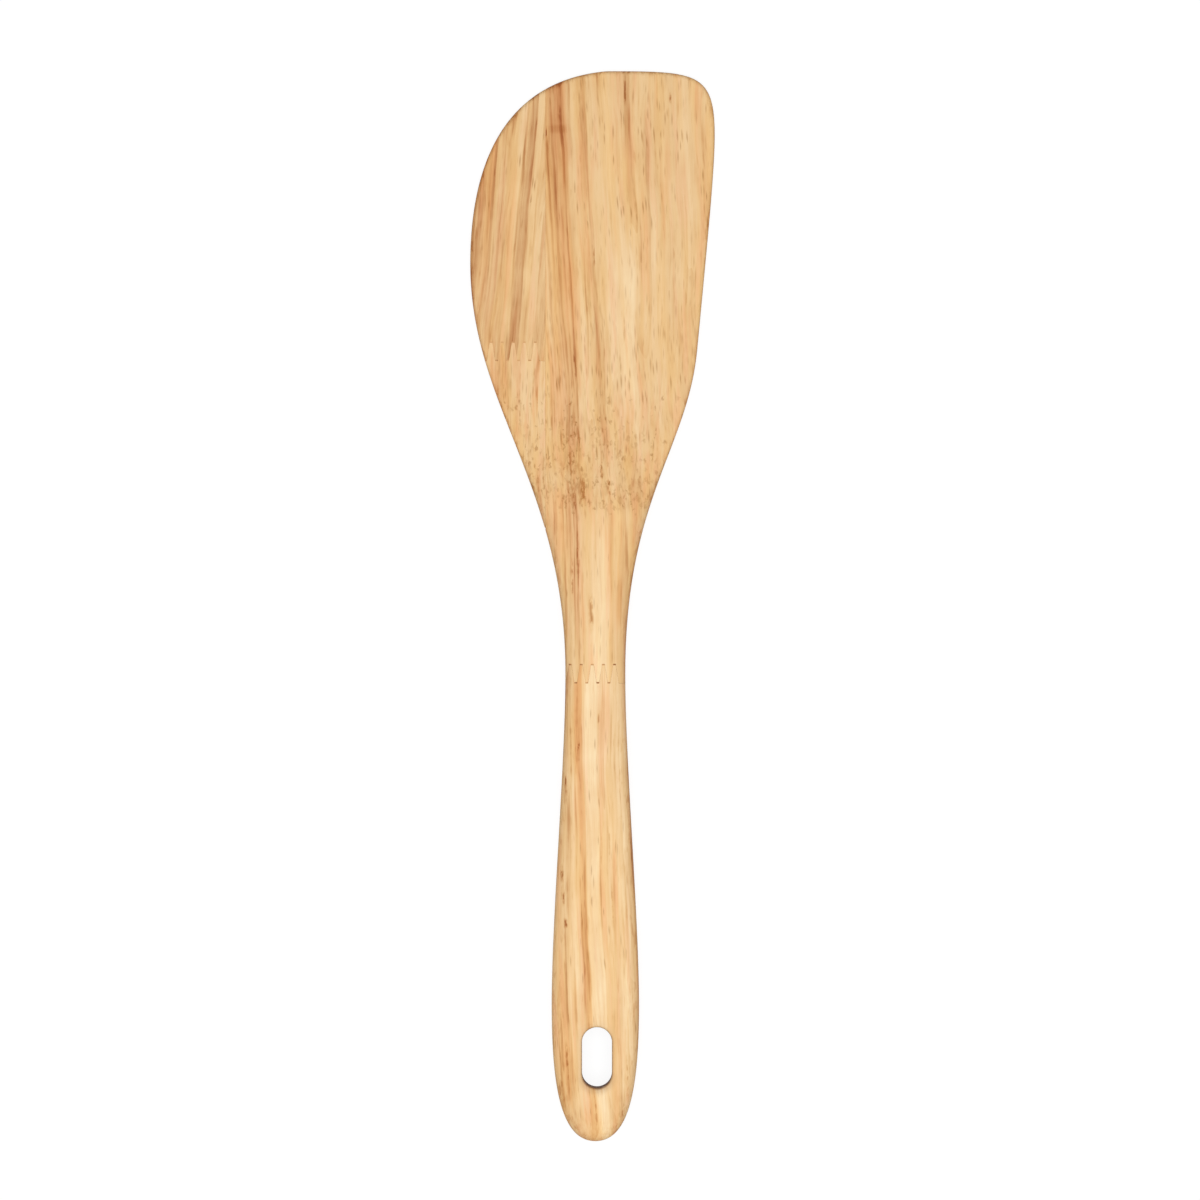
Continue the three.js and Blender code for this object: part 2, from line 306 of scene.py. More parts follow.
def slab(name, patches, front, back, **marks):
    """Closed piece over plan patches. Equal plan points are merged, the front and the back are two
    heights over the same plan, and a wall joins them along every edge that only one face has. The mesh
    keeps the distance to the rim, in millimetres, as its rim attribute, and any other marks, each a
    function of the plan."""
    points = np.concatenate([patch.reshape(-1, 2) for patch in patches])
    quads, first = [], 0
    for patch in patches:
        number = first + np.arange(patch[..., 0].size).reshape(patch.shape[:2])
        corners = number[:-1, :-1], number[:-1, 1:], number[1:, 1:], number[1:, :-1]
        quads.append(np.stack(corners, -1).reshape(-1, 4))
        first += number.size
    quads = np.concatenate(quads)
    same = np.round(points * welds_per_mm)
    _, kept, place = np.unique(same, axis=0, return_index=True, return_inverse=True)
    points, quads = points[kept], place.reshape(-1)[quads]
    ahead = points[quads[:, 2]] - points[quads[:, 0]]
    aside = points[quads[:, 3]] - points[quads[:, 1]]
    turned = ahead[:, 0] * aside[:, 1] < ahead[:, 1] * aside[:, 0]
    quads[turned] = quads[turned, ::-1]
    count = len(points)
    edges = np.stack([quads, np.roll(quads, -1, 1)], -1).reshape(-1, 2)
    open_edge = ~np.isin(edges[:, 1] * count + edges[:, 0], edges[:, 0] * count + edges[:, 1])
    a, b = edges[open_edge].T
    walls = np.stack([b, a, a + count, b + count], -1)
    plan = np.tile(points - middle_of_box, (2, 1))
    height = np.concatenate([front(points), back(points)])
    mesh = bpy.data.meshes.new(name)
    vertices = np.column_stack([plan, height]) / mm_per_m
    faces = np.concatenate([quads, quads[:, ::-1] + count, walls])
    mesh.from_pydata(vertices.tolist(), [], faces.tolist())
    for mark, value in {"rim": rim_distance, **marks}.items():
        attribute = mesh.attributes.new(mark, "FLOAT", "POINT")
        attribute.data.foreach_set("value", np.tile(value(points), 2))
    mesh.shade_smooth()
    mesh.set_sharp_from_angle(angle=sharp_from)
    piece = bpy.data.objects.new(name, mesh)
    bpy.context.scene.collection.objects.link(piece)
    return piece


def tone(red, green, blue):
    """A colour written as it looks, from 0 to 255, as the linear value that a shader takes."""
    share = np.array([red, green, blue]) / 255
    linear = np.where(share <= 0.04045, share / 12.92, ((share + 0.055) / 1.055) ** 2.4)
    return (*linear.tolist(), 1.0)


def wood(
    name, base, streaks, tints=(), lean=0.0, fan=0.0, bow=0.0, bend_at=0.0, upwards=True, seed=0.0, pores=0.3,
    dots=0.0, hollow=0.0, rim_width=1.0, figure=1.0,
):
    """Rubberwood as a solid. Its tone is a base, plus fibres, lines, bands and rings of noise stretched
    along the grain and scaled by figure, plus streaks, fine hairlines, darker blotches near the rim and
    painted edge shade: an even darker band along the rim and a thin dark line at its very edge. Its
    pores are long thin cells, with dots where the hollow cuts them across. The grain's sideways place is
    x, straightened by lean times the distance t past bend_at, by fan times x times t, and by bow times t
    squared, with a slow wobble. Each streak is (place, half width, lowest y, highest y, depth) in
    millimetres, paler where depth is negative, and tints are the same for how orange the wood is."""
    material = bpy.data.materials.new(name)
    material.use_nodes = True
    nodes, link = material.node_tree.nodes, material.node_tree.links.new

    def put(value, socket):
        """Gives a socket a link from another socket, or a plain value."""
        if isinstance(value, bpy.types.NodeSocket):
            link(value, socket)
        else:
            socket.default_value = value

    def calc(operation, *values):
        """One step of arithmetic."""
        node = nodes.new("ShaderNodeMath")
        node.operation = operation
        for value, socket in zip(values, node.inputs):
            put(value, socket)
        return node.outputs[0]

    def fade(value, low, high):
        """Smooth rise from 0 at low to 1 at high, or a fall where low is the greater."""
        node = nodes.new("ShaderNodeMapRange")
        node.interpolation_type = "SMOOTHSTEP"
        put(value, node.inputs["Value"])
        put(low, node.inputs["From Min"])
        put(high, node.inputs["From Max"])
        return node.outputs["Result"]

    def mixed(under, over, amount, blend="MIX"):
        """One colour over another, by an amount from 0 to 1."""
        node = nodes.new("ShaderNodeMix")
        node.data_type = "RGBA"
        node.blend_type = blend
        put(amount, node.inputs["Factor"])
        put(under, node.inputs["A"])
        put(over, node.inputs["B"])
        return node.outputs["Result"]

    def stretched(vector, scale):
        """A place times a scale for each axis, shifted by the board's seed so that no two are alike."""
        node = nodes.new("ShaderNodeVectorMath")
        node.operation = "MULTIPLY_ADD"
        link(vector, node.inputs[0])
        node.inputs[1].default_value = scale
        node.inputs[2].default_value = (seed, 2.7 * seed, 1.3 * seed)
        return node.outputs[0]

    def noise(vector, scale, detail=2.0, roughness=0.5):
        """Noise about 0. Its scale is in changes per millimetre across, along and through the board."""
        node = nodes.new("ShaderNodeTexNoise")
        link(stretched(vector, scale), node.inputs["Vector"])
        node.inputs["Scale"].default_value = 1.0
        node.inputs["Detail"].default_value = detail
        node.inputs["Roughness"].default_value = roughness
        return calc("SUBTRACT", node.outputs["Fac"], 0.5)

    def mark(attribute):
        """A value that the mesh keeps at its points."""
        node = nodes.new("ShaderNodeAttribute")
        node.attribute_name = attribute
        return node.outputs["Fac"]

    in_plan = nodes.new("ShaderNodeMapping")
    link(nodes.new("ShaderNodeTexCoord").outputs["Object"], in_plan.inputs["Vector"])
    in_plan.inputs["Scale"].default_value = (mm_per_m, mm_per_m, mm_per_m)
    in_plan.inputs["Location"].default_value = (*middle_of_box, 0)
    place = in_plan.outputs[0]
    split = nodes.new("ShaderNodeSeparateXYZ")
    link(place, split.inputs[0])
    x, y, z = split.outputs

    past = calc("SUBTRACT", y, bend_at) if upwards else calc("SUBTRACT", bend_at, y)
    past = calc("MAXIMUM", past, 0.0)
    slope = calc("ADD", calc("MULTIPLY_ADD", x, fan, lean), calc("MULTIPLY", past, bow))
    wobble = noise(place, (0.07, 0.028, 0.07))
    grain_x = calc("MULTIPLY_ADD", slope, past, calc("MULTIPLY_ADD", wobble, 2.6, x))
    grain = nodes.new("ShaderNodeCombineXYZ")
    put(grain_x, grain.inputs[0])
    put(y, grain.inputs[1])
    put(z, grain.inputs[2])
    grain = grain.outputs[0]

    fibre = noise(grain, (1.7, 0.06, 1.7), detail=3.0, roughness=0.6)
    line = noise(grain, (0.6, 0.024, 0.6))
    crisp = calc("SUBTRACT", fade(noise(grain, (0.42, 0.016, 0.42)), -0.05, 0.05), 0.5)
    band = noise(grain, (0.17, 0.008, 0.17), detail=1.0)
    cloud = noise(place, (0.12, 0.07, 0.12), detail=4.0, roughness=0.6)
    dash = fade(noise(grain, (1.8, 0.15, 1.8), detail=1.0), 0.12, 0.24)
    phase = calc("MULTIPLY_ADD", z, 0.12, calc("MULTIPLY", grain_x, 0.27))
    phase = calc("MULTIPLY_ADD", noise(grain, (0.11, 0.006, 0.11)), 6.0, phase)
    ring = calc("SUBTRACT", calc("POWER", calc("FRACT", phase), 3.0), 0.25)
    ring = calc("MULTIPLY", ring, fade(noise(grain, (0.25, 0.016, 0.25)), -0.08, 0.2))
    broken = calc("MULTIPLY_ADD", fade(noise(grain, (0.9, 0.05, 0.9)), -0.14, 0.14), 0.8, 0.35)
    ragged = calc("MULTIPLY_ADD", noise(grain, (1.1, 0.015, 1.1)), 36.0, y)
    uneven = calc("MULTIPLY_ADD", noise(place, (0.35, 0.1, 0.35)), 14.0, y)
    in_hollow = calc("MULTIPLY", fade(uneven, 175, 180), fade(uneven, 216, 183))
    speckle = calc("MULTIPLY_ADD", fade(noise(place, (1.4, 0.5, 1.4)), -0.1, 0.1), 1.0, 0.25)

    def add_streaks(value, list_of_streaks):
        """Adds each streak: sharp on its right side and soft on its left, and faded in and out along the
        grain. Long ones have ragged ends, and thin ones are broken up by noise."""
        longest_fade, fade_share, shortest_long = 16.0, 0.4, 20
        for centre, half, low, high, strength in list_of_streaks:
            off = calc("SUBTRACT", grain_x, centre)
            soft = min(longest_fade, fade_share * (high - low))
            long = high - low > shortest_long
            at = ragged if long else y
            window = calc("MULTIPLY", fade(at, low, low + soft), fade(at, high, high - soft))
            across = calc("MULTIPLY", fade(off, -1.4 * half, 0.1 * half), fade(off, half, 0.75 * half))
            shape = calc("MULTIPLY", across, window)
            if half < 1:
                shape = calc("MULTIPLY", shape, broken if long else speckle)
            value = calc("MULTIPLY_ADD", shape, strength, value)
        return value

    depth = calc("MULTIPLY_ADD", in_hollow, hollow, base)
    layers = [
        (fibre, 0.52), (line, 0.24), (crisp, 0.09), (band, 0.32), (cloud, 0.50), (dash, 0.16), (ring, 0.26),
    ]
    for layer, amount in layers:
        depth = calc("MULTIPLY_ADD", layer, figure * amount, depth)
    depth = add_streaks(depth, streaks)
    hairline = fade(noise(grain, (1.25, 0.022, 1.25), detail=1.0), 0.03, 0.15)
    hairline = calc("MULTIPLY", hairline, calc("MULTIPLY_ADD", fade(depth, 0.46, 0.68), 0.10, 0.04))
    depth = calc("ADD", depth, hairline)
    # Towards the rim: darker blotches, then painted edge shade, an even darker band within rim_width of the
    # rim and a thin dark line at the very edge.
    rim = mark("rim")
    patch = fade(noise(place, (0.55, 0.16, 0.55), detail=3.0, roughness=0.6), 0.02, 0.14)
    near_rim = calc("MULTIPLY", fade(rim, 2.2 * rim_width, 0.0), fade(rim, 0.0, 0.3 * rim_width))
    patch = calc("MULTIPLY", patch, near_rim)
    depth = calc("MULTIPLY_ADD", patch, 0.28, depth)
    depth = calc("MULTIPLY_ADD", fade(rim, rim_width, 0.0), 0.14, depth)
    depth = calc("MULTIPLY_ADD", calc("MULTIPLY", fade(rim, 0.5, 0.0), fade(rim, 0.0, 0.15)), 0.2, depth)

    tones = nodes.new("ShaderNodeValToRGB")
    palette = [
        (0.00, (255, 228, 184)), (0.12, (250, 218, 171)), (0.24, (245, 209, 160)), (0.36, (240, 202, 150)),
        (0.46, (234, 193, 140)), (0.56, (227, 183, 130)), (0.68, (215, 165, 113)), (0.82, (198, 142, 91)),
        (1.00, (170, 107, 61)),
    ]
    while len(tones.color_ramp.elements) < len(palette):
        tones.color_ramp.elements.new(0.5)
    for element, (position, colour) in zip(tones.color_ramp.elements, palette):
        element.position = position
        element.color = tone(*colour)
    put(calc("MULTIPLY", depth, 0.8), tones.inputs[0])
    tint = add_streaks(0.0, tints)
    orange = calc("ADD", fade(noise(grain, (0.3, 0.02, 0.3)), -0.2, 0.25), tint)
    blush = calc("ADD", fade(noise(grain, (0.5, 0.03, 0.5)), -0.06, 0.2), tint)
    colour = mixed(tones.outputs["Color"], (1.0, 0.93, 0.78, 1.0), orange, "MULTIPLY")
    colour = mixed(colour, (1.0, 0.89, 0.89, 1.0), blush, "MULTIPLY")

    def cut_pores(cells_in, vector, width, length, share, least, faint, range_of_depth):
        """Pores in the middle of stretched cells: a share of the cells is open, each with its own radius
        above the least one and its own darkness above the faint one."""
        cells = nodes.new("ShaderNodeTexVoronoi")
        cells.voronoi_dimensions = cells_in
        link(stretched(vector, (1 / width, 1 / length, 0.3 / width)), cells.inputs["Vector"])
        cells.inputs["Scale"].default_value = 1.0
        chance = nodes.new("ShaderNodeSeparateColor")
        link(cells.outputs["Color"], chance.inputs[0])
        is_open, size, darkness = chance.outputs
        radius = calc("MULTIPLY_ADD", size, 0.3, least)
        pore = fade(cells.outputs["Distance"], radius, 0.0)
        pore = calc("MULTIPLY", pore, calc("LESS_THAN", is_open, share))
        darkness = calc("MULTIPLY", darkness, darkness)
        return calc("MULTIPLY", pore, calc("MULTIPLY_ADD", darkness, range_of_depth, faint))

    shaken = nodes.new("ShaderNodeCombineXYZ")
    put(calc("MULTIPLY_ADD", noise(place, (1.6, 1.1, 1.6)), 1.5, grain_x), shaken.inputs[0])
    put(calc("MULTIPLY_ADD", noise(place, (1.3, 0.8, 1.3)), 3.0, y), shaken.inputs[1])
    cluster = fade(noise(place, (0.2, 0.14, 0.2)), -0.1, 0.14)
    in_cluster = calc("MULTIPLY", in_hollow, calc("MULTIPLY_ADD", cluster, 0.8 * dots, 0.5 * dots))
    in_cluster = calc("MULTIPLY", in_cluster, fade(z, 2.0, 3.5))
    darker = fade(depth, 0.48, 0.74)
    in_cluster = calc("MULTIPLY", in_cluster, calc("MULTIPLY_ADD", darker, 0.7, 0.65))
    past_hollow = calc("MULTIPLY", fade(uneven, 184, 206), fade(uneven, 264, 226))
    in_past = calc("MULTIPLY_ADD", past_hollow, 0.5 * dots, pores)
    long_pores = cut_pores("3D", grain, 0.6, 5.0, in_past, 0.35, 0.17, 0.46)
    short_pores = cut_pores("2D", shaken.outputs[0], 1.1, 1.9, in_cluster, 0.44, 0.28, 0.44)
    short_pores = calc("MULTIPLY", short_pores, calc("MULTIPLY_ADD", darker, 0.25, 0.8))
    pore = calc("MAXIMUM", long_pores, short_pores)
    colour = mixed(colour, tone(156, 90, 8), pore)
    # Painted shade in and around the slot: a dark brown, mottled by noise, full on the slot's wall and fading
    # over its eased edge and the halo around it.
    scorch = mark("scorch")
    shade_mottle = calc("MULTIPLY_ADD", noise(place, (0.5, 0.5, 0.16), detail=3.0), 0.7, 0.85)
    colour = mixed(colour, tone(104, 42, 14), calc("MULTIPLY", scorch, shade_mottle))

    shader = nodes["Principled BSDF"]
    link(colour, shader.inputs["Base Color"])
    put(calc("MULTIPLY_ADD", fibre, 0.25, 0.62), shader.inputs["Roughness"])
    shader.inputs["Specular IOR Level"].default_value = 0.1
    relief = nodes.new("ShaderNodeBump")
    relief.inputs["Strength"].default_value = 0.25
    relief.inputs["Distance"].default_value = 0.0002
    put(calc("MULTIPLY_ADD", long_pores, -0.2, calc("MULTIPLY", fibre, 0.5)), relief.inputs["Height"])
    link(relief.outputs["Normal"], shader.inputs["Normal"])
    return material


main_foot = finger_edge(neck_joint_y, neck_finger_offset, -neck[0], neck[0], above=True)
main_columns = 64
top_row_drop = 10.8
main_left_x = edge_joint_x + wood_gap
shoulder = left_rim[left_rim[:, 1] >= left_widest[1]]
main_left_top = np.interp(main_left_x, shoulder[:, 0], shoulder[:, 1])
main_right_top = tip[1] - top_row_drop
flare = left_rim[(left_rim[:, 1] >= neck[1]) & (left_rim[:, 1] <= left_widest[1])]
sliver_y = np.interp(-main_left_x, -flare[:, 0], flare[:, 1])
main_up = rows_up(0.94, even_rows=150, top_rows=25)
main_start = neck_joint_y + finger_end
main_left_y = main_start + main_up * (main_left_top - main_start)
main_left_y[np.abs(main_left_y - sliver_y).argmin()] = sliver_y
main_right_y = main_start + main_up * (main_right_top - main_start)
main_left = plan_at(np.maximum(rim_x(left_rim, main_left_y), main_left_x), main_left_y)
main_right = plan_at(rim_x(right_rim, main_right_y), main_right_y)
main_across = with_corners(
    crowded(main_columns), share_between(main_left[0], main_right[0], main_foot, main_start)
)
main_plan = ruled(main_left, main_right, main_across)
top_row = along(
    np.concatenate([
        main_left[-1:], shoulder[shoulder[:, 0] > main_left_x],
        right_rim[right_rim[:, 1] > main_right_top][-2::-1], main_right[-1:],
    ]),
    main_across,
)
near_top = smooth_step(main_left_y, left_widest[1], main_left_y[-1])[:, None, None]
main_plan = main_plan + near_top * (top_row - main_plan[-1])
main_fingers = hanging_fingers(
    main_plan[0], main_foot, lambda y: rim_x(left_rim, y), lambda y: rim_x(right_rim, y)
)
main_board = slab("main_board", [main_plan, *main_fingers], front_height, back_height)
main_streaks = [
    (-5.6, 3.4, 250, 336, 0.26), (-5.2, 4.4, 232, 336, 0.13), (-5.6, 3.0, 166, 250, 0.14),
    (-6.6, 0.9, 252, 314, 0.13), (-3.6, 0.35, 176, 308, 0.3), (-5.9, 0.35, 176, 300, 0.22),
    (-7.4, 0.35, 210, 300, 0.2), (-9.0, 0.4, 200, 294, 0.2), (-10.7, 0.4, 180, 262, 0.24),
    (-8.6, 0.3, 279, 286, 0.4), (-4.7, 0.3, 190, 262, 0.22), (-8.2, 0.25, 184, 240, 0.2),
    (-6.7, 0.25, 180, 250, 0.2), (-9.9, 0.25, 190, 246, 0.18), (-11.8, 0.25, 196, 270, 0.16),
    (-3.9, 0.4, 210, 224, 0.26), (-2.8, 0.8, 177, 189, 0.4), (-5.2, 0.7, 174, 187, 0.3),
    (-3.9, 0.5, 285, 291, 0.16), (-7.5, 0.4, 281, 285, 0.5), (24.3, 0.35, 290.5, 294.5, 0.45),
    (-12.3, 0.4, 182, 240, 0.14), (-4.9, 2.7, 282, 285.4, 0.15), (1.6, 1.3, 258, 306, 0.2),
    (2.6, 0.7, 205, 272, 0.22), (3.4, 1.2, 178, 240, 0.2), (2.9, 0.3, 244, 252, 0.3),
    (-0.5, 0.35, 240, 262, 0.16), (1.2, 0.35, 228, 262, 0.18), (4.2, 0.8, 179, 188, 0.35),
    (0.2, 0.3, 224, 250, 0.16), (6.3, 0.4, 282, 308, 0.2), (8.0, 0.4, 240, 268, 0.14),
    (10.6, 0.3, 262, 290, 0.14), (13.4, 1.0, 256, 308, 0.24), (13.2, 0.25, 288, 300, 0.42),
    (14.8, 0.6, 238, 270, 0.2), (17.6, 0.4, 246, 292, 0.12), (23.6, 0.35, 222, 250, 0.42),
    (20.8, 0.5, 222, 270, 0.14), (27.0, 0.4, 240, 286, 0.12), (32.4, 1.2, 240, 296, 0.1),
    (9.0, 5.0, 196, 262, -0.2), (7.0, 2.0, 258, 300, -0.1), (-1.2, 1.2, 196, 250, -0.1),
    (-4.8, 0.4, 126, 186, 0.45), (-4.6, 0.7, 154, 174, 0.25), (-7.8, 0.3, 158, 186, 0.3),
    (-6.3, 0.35, 148, 166, 0.4), (-7.2, 0.6, 116, 154, 0.24), (-5.6, 0.25, 134, 184, 0.3),
    (-3.6, 0.3, 122, 162, 0.26), (-8.8, 0.3, 150, 190, 0.3), (-6.8, 0.25, 152, 186, 0.3),
    (-11.0, 0.6, 160, 182, 0.24), (-7.0, 2.4, 134, 186, 0.14), (-8.2, 0.35, 130, 172, 0.3),
    (1.2, 3.2, 118, 176, -0.28), (4.3, 0.5, 144, 184, 0.2), (7.2, 1.8, 116, 178, 0.1),
    (6.6, 1.0, 142, 160, 0.24), (-1.5, 0.7, 141, 155, 0.4), (1.3, 0.3, 146, 169, 0.18),
    (8.6, 0.5, 150, 176, 0.2),
]
main_tints = [
    (-6.0, 4.0, 200, 322, 0.4), (22.0, 9.0, 190, 330, -0.14), (32.4, 1.4, 240, 296, 0.25),
    (9.0, 5.0, 190, 262, -0.3), (1.2, 3.0, 118, 176, -0.3), (6.4, 1.2, 140, 164, 0.4),
    (-9.0, 1.6, 176, 236, 0.3), (-3.6, 0.8, 228, 256, 0.5),
]
main_board.data.materials.append(
    wood("main_board_wood", 0.44, main_streaks, main_tints, lean=0.0467, fan=-0.001, bend_at=175, seed=3.1,
         pores=0.33, dots=0.85, hollow=0.05, figure=0.83)
)
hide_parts("blade_main_stave")
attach(main_board, "root")

# Left lower stave: a short rubberwood offcut at the left of the blade, running out to a sliver at the neck.
# Its top end is cut with fingers for the stave above, and its long edge is glued to the main stave.
blade_joint_y = 221.3
blade_finger_offset = -18.4
sliver_blunting = 0.6
left_columns = 40
lower_rows = 70


def standing_fingers(row, edge):
    """Patches of the fingers that stand up from a row, one for each four corners of the joint's edge."""
    fingers = edge[2:-2].reshape(-1, 4, 2)
    return [tooth(row, flank(f[0], f[1]), flank(f[3], f[2])) for f in fingers]


left_edge_x = edge_joint_x - wood_gap
lower_start = rim_x(left_rim, blade_joint_y - finger_end)
lower_head = finger_edge(blade_joint_y, blade_finger_offset, lower_start, left_edge_x, above=False)
lower_end = np.interp(-left_edge_x, -flare[:, 0], flare[:, 1]) + sliver_blunting
lower_y = np.linspace(lower_end, lower_head[0, 1], lower_rows)
lower_left = plan_at(rim_x(left_rim, lower_y), lower_y)
lower_right = plan_at(left_edge_x, lower_y)
lower_corners = share_between(lower_left[-1], lower_right[-1], lower_head, lower_y[-1])
lower_across = with_corners(crowded(left_columns, high_end=False), lower_corners)
lower_plan = ruled(lower_left, lower_right, lower_across)
lower_fingers = standing_fingers(lower_plan[-1], lower_head)
left_lower_board = slab("left_lower_board", [lower_plan, *lower_fingers], front_height, back_height)
lower_streaks = [
    (-16.2, 0.4, 198, 228, 0.45), (-19.5, 2.5, 194, 232, -0.16), (-24.5, 1.0, 192, 224, 0.1),
    (-28.0, 1.6, 186, 230, 0.14), (-21.2, 0.3, 194, 214, 0.2), (-26.2, 0.3, 200, 222, 0.16),
    (-14.6, 0.4, 180, 216, 0.2),
]
lower_tints = [(-16.2, 0.6, 198, 228, 0.6), (-27.6, 2.4, 186, 230, 0.4), (-19.5, 2.5, 194, 232, -0.2)]
left_lower_board.data.materials.append(
    wood("left_lower_board_wood", 0.46, lower_streaks, lower_tints, seed=11.3, pores=0.2, dots=0.85,
         hollow=0.06, figure=0.92)
)
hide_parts("blade_left_lower_stave")
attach(left_lower_board, "root")

# Left upper stave: a browner board whose grain leans the other way, up the left side to the round shoulder.
# Its foot is cut with fingers that hang between those of the lower stave, with small pockets at their tips.
shoulder_drop = 17.0
rows_bend_below = 15.0
upper_start = rim_x(left_rim, blade_joint_y + foot_gap - finger_end)
upper_foot = finger_edge(blade_joint_y, blade_finger_offset, upper_start, left_edge_x, above=True)
upper_left_top = tip[1] - shoulder_drop
upper_right_top = np.interp(left_edge_x, shoulder[:, 0], shoulder[:, 1])
upper_base = blade_joint_y + finger_end
upper_up = rows_up(0.84, even_rows=50, top_rows=28)
upper_y = upper_base + upper_up * (upper_left_top - upper_base)
upper_left = plan_at(rim_x(left_rim, upper_y), upper_y)
upper_right = plan_at(left_edge_x, upper_y)
upper_corners = share_between(upper_left[0], upper_right[0], upper_foot, upper_base)
upper_across = with_corners(crowded(left_columns, high_end=False), upper_corners)
upper_plan = ruled(upper_left, upper_right, upper_across)
past_left_top = (shoulder[:, 1] > upper_left_top) & (shoulder[:, 0] < left_edge_x)
shoulder_end = np.array([[left_edge_x, upper_right_top]])
top_row = along(np.concatenate([upper_left[-1:], shoulder[past_left_top], shoulder_end]), upper_across)
near_top = smooth_step(upper_y, left_widest[1] - rows_bend_below, upper_left_top)[:, None, None]
upper_plan = upper_plan + near_top * (top_row - upper_plan[-1])
upper_fingers = hanging_fingers(
    upper_plan[0], upper_foot, lambda y: rim_x(left_rim, y), lambda y: left_edge_x
)
left_upper_board = slab("left_upper_board", [upper_plan, *upper_fingers], front_height, back_height)
upper_streaks = [
    (-23.7, 1.4, 200, 320, 0.28), (-24.5, 0.7, 204, 238, 0.27), (-22.7, 0.4, 240, 310, 0.16),
    (-26.5, 1.0, 232, 314, -0.2), (-21.4, 1.0, 232, 316, -0.24), (-19.4, 1.4, 218, 268, -0.26),
    (-21.0, 0.7, 210, 248, 0.2), (-37.4, 1.8, 220, 292, 0.22), (-35.4, 0.6, 240, 284, 0.24),
    (-33.0, 0.5, 228, 294, 0.24), (-30.6, 0.5, 222, 300, 0.16), (-31.6, 0.8, 224, 280, -0.14),
    (-29.0, 0.4, 236, 300, 0.16), (-27.7, 0.5, 210, 236, 0.22), (-17.4, 0.5, 218, 254, -0.1),
    (-25.3, 0.3, 226, 300, 0.2),
]
upper_tints = [(-25.0, 9.0, 190, 330, -0.16), (-34.6, 1.6, 232, 290, 0.4), (-21.2, 2.0, 236, 312, -0.2)]
left_upper_board.data.materials.append(
    wood("left_upper_board_wood", 0.56, upper_streaks, upper_tints, lean=-0.09, bend_at=218, seed=7.7,
         pores=0.2, figure=0.94)
)
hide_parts("blade_left_upper_stave")
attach(left_upper_board, "root")

# Handle stave: a paler rubberwood board, from the finger joint at the neck to the round butt.
# It is rounded over on both faces, and a slot for hanging is routed through the grip and eased at its edges.
slot_middle = np.array([0.45, 23.6])
slot_radius = 4.2
slot_arm = 4.3
slot_ease = 0.7
ring_top = 46.0
handle_columns = 48
handle_rows = 90
butt_steps = 140
ring_rows = 34


def slot_axis(plan):
    """Nearest point of the slot's middle line, from the centre of one round end to that of the other."""
    y = np.clip(plan[..., 1], slot_middle[1] - slot_arm, slot_middle[1] + slot_arm)
    return plan_at(slot_middle[0], y)


def slot_fall(plan):
    """How far the eased edge of the slot falls away: a quarter circle from the slot's wall outwards."""
    off = plan - slot_axis(plan)
    return round_over(np.hypot(off[..., 0], off[..., 1]) - slot_radius, slot_ease, slot_ease, edge_fullness)


def slot_scorch(plan):
    """How much painted shade there is at the slot: 1 on its wall, painted shade in the hole, then a narrow
    band of painted shade over the eased edge and a wide browner halo that fade outwards and are stronger at
    the butt end, whose wall faces away from the lamp."""
    halo_width, edge_shade_from, edge_shade_to, on_wall = 2.6, 0.1, 0.7, 0.01
    off = plan - slot_axis(plan)
    distance = np.hypot(off[..., 0], off[..., 1])
    towards_butt = np.clip(-off[..., 1] / distance, 0, 1)
    off_wall = distance - slot_radius
    halo = (1 - smooth_step(off_wall, 0, halo_width)) * (0.12 + 0.28 * towards_butt)
    shaded_edge = (1 - smooth_step(off_wall, edge_shade_from, edge_shade_to)) * (0.16 + 0.34 * towards_butt)
    return np.where(off_wall < on_wall, 1.0, halo + shaded_edge)


handle_head = finger_edge(neck_joint_y, neck_finger_offset, -neck[0], neck[0], above=False)
handle_y = np.linspace(ring_top, handle_head[0, 1], handle_rows)
handle_left = plan_at(rim_x(left_rim, handle_y), handle_y)
handle_right = plan_at(rim_x(right_rim, handle_y), handle_y)
handle_corners = share_between(handle_left[-1], handle_right[-1], handle_head, handle_y[-1])
handle_across = with_corners(crowded(handle_columns), handle_corners)
handle_plan = ruled(handle_left, handle_right, handle_across)
butt = along(
    np.concatenate([
        handle_plan[0, :1], left_rim[left_rim[:, 1] < ring_top][::-1],
        right_rim[right_rim[:, 1] < ring_top][1:], handle_plan[0, -1:],
    ]),
    np.linspace(0, 1, butt_steps + 1),
)
around = np.concatenate([butt, handle_plan[0, -2::-1]])
spoke = around - slot_axis(around)
inner = slot_axis(around) + slot_radius * spoke / np.hypot(*spoke.T)[:, None]
outwards = crowded(ring_rows, power=1.9)[:, None, None]
ring_plan = inner + outwards * (around - inner)
handle_fingers = standing_fingers(handle_plan[-1], handle_head)
handle_board = slab(
    "handle_board", [handle_plan, ring_plan, *handle_fingers],
    lambda plan: front_height(plan) - slot_fall(plan),
    lambda plan: back_height(plan) + slot_fall(plan),
    # The painted shade of the slot, kept on the mesh as a mark for the wood's colour.
    scorch=slot_scorch,
)
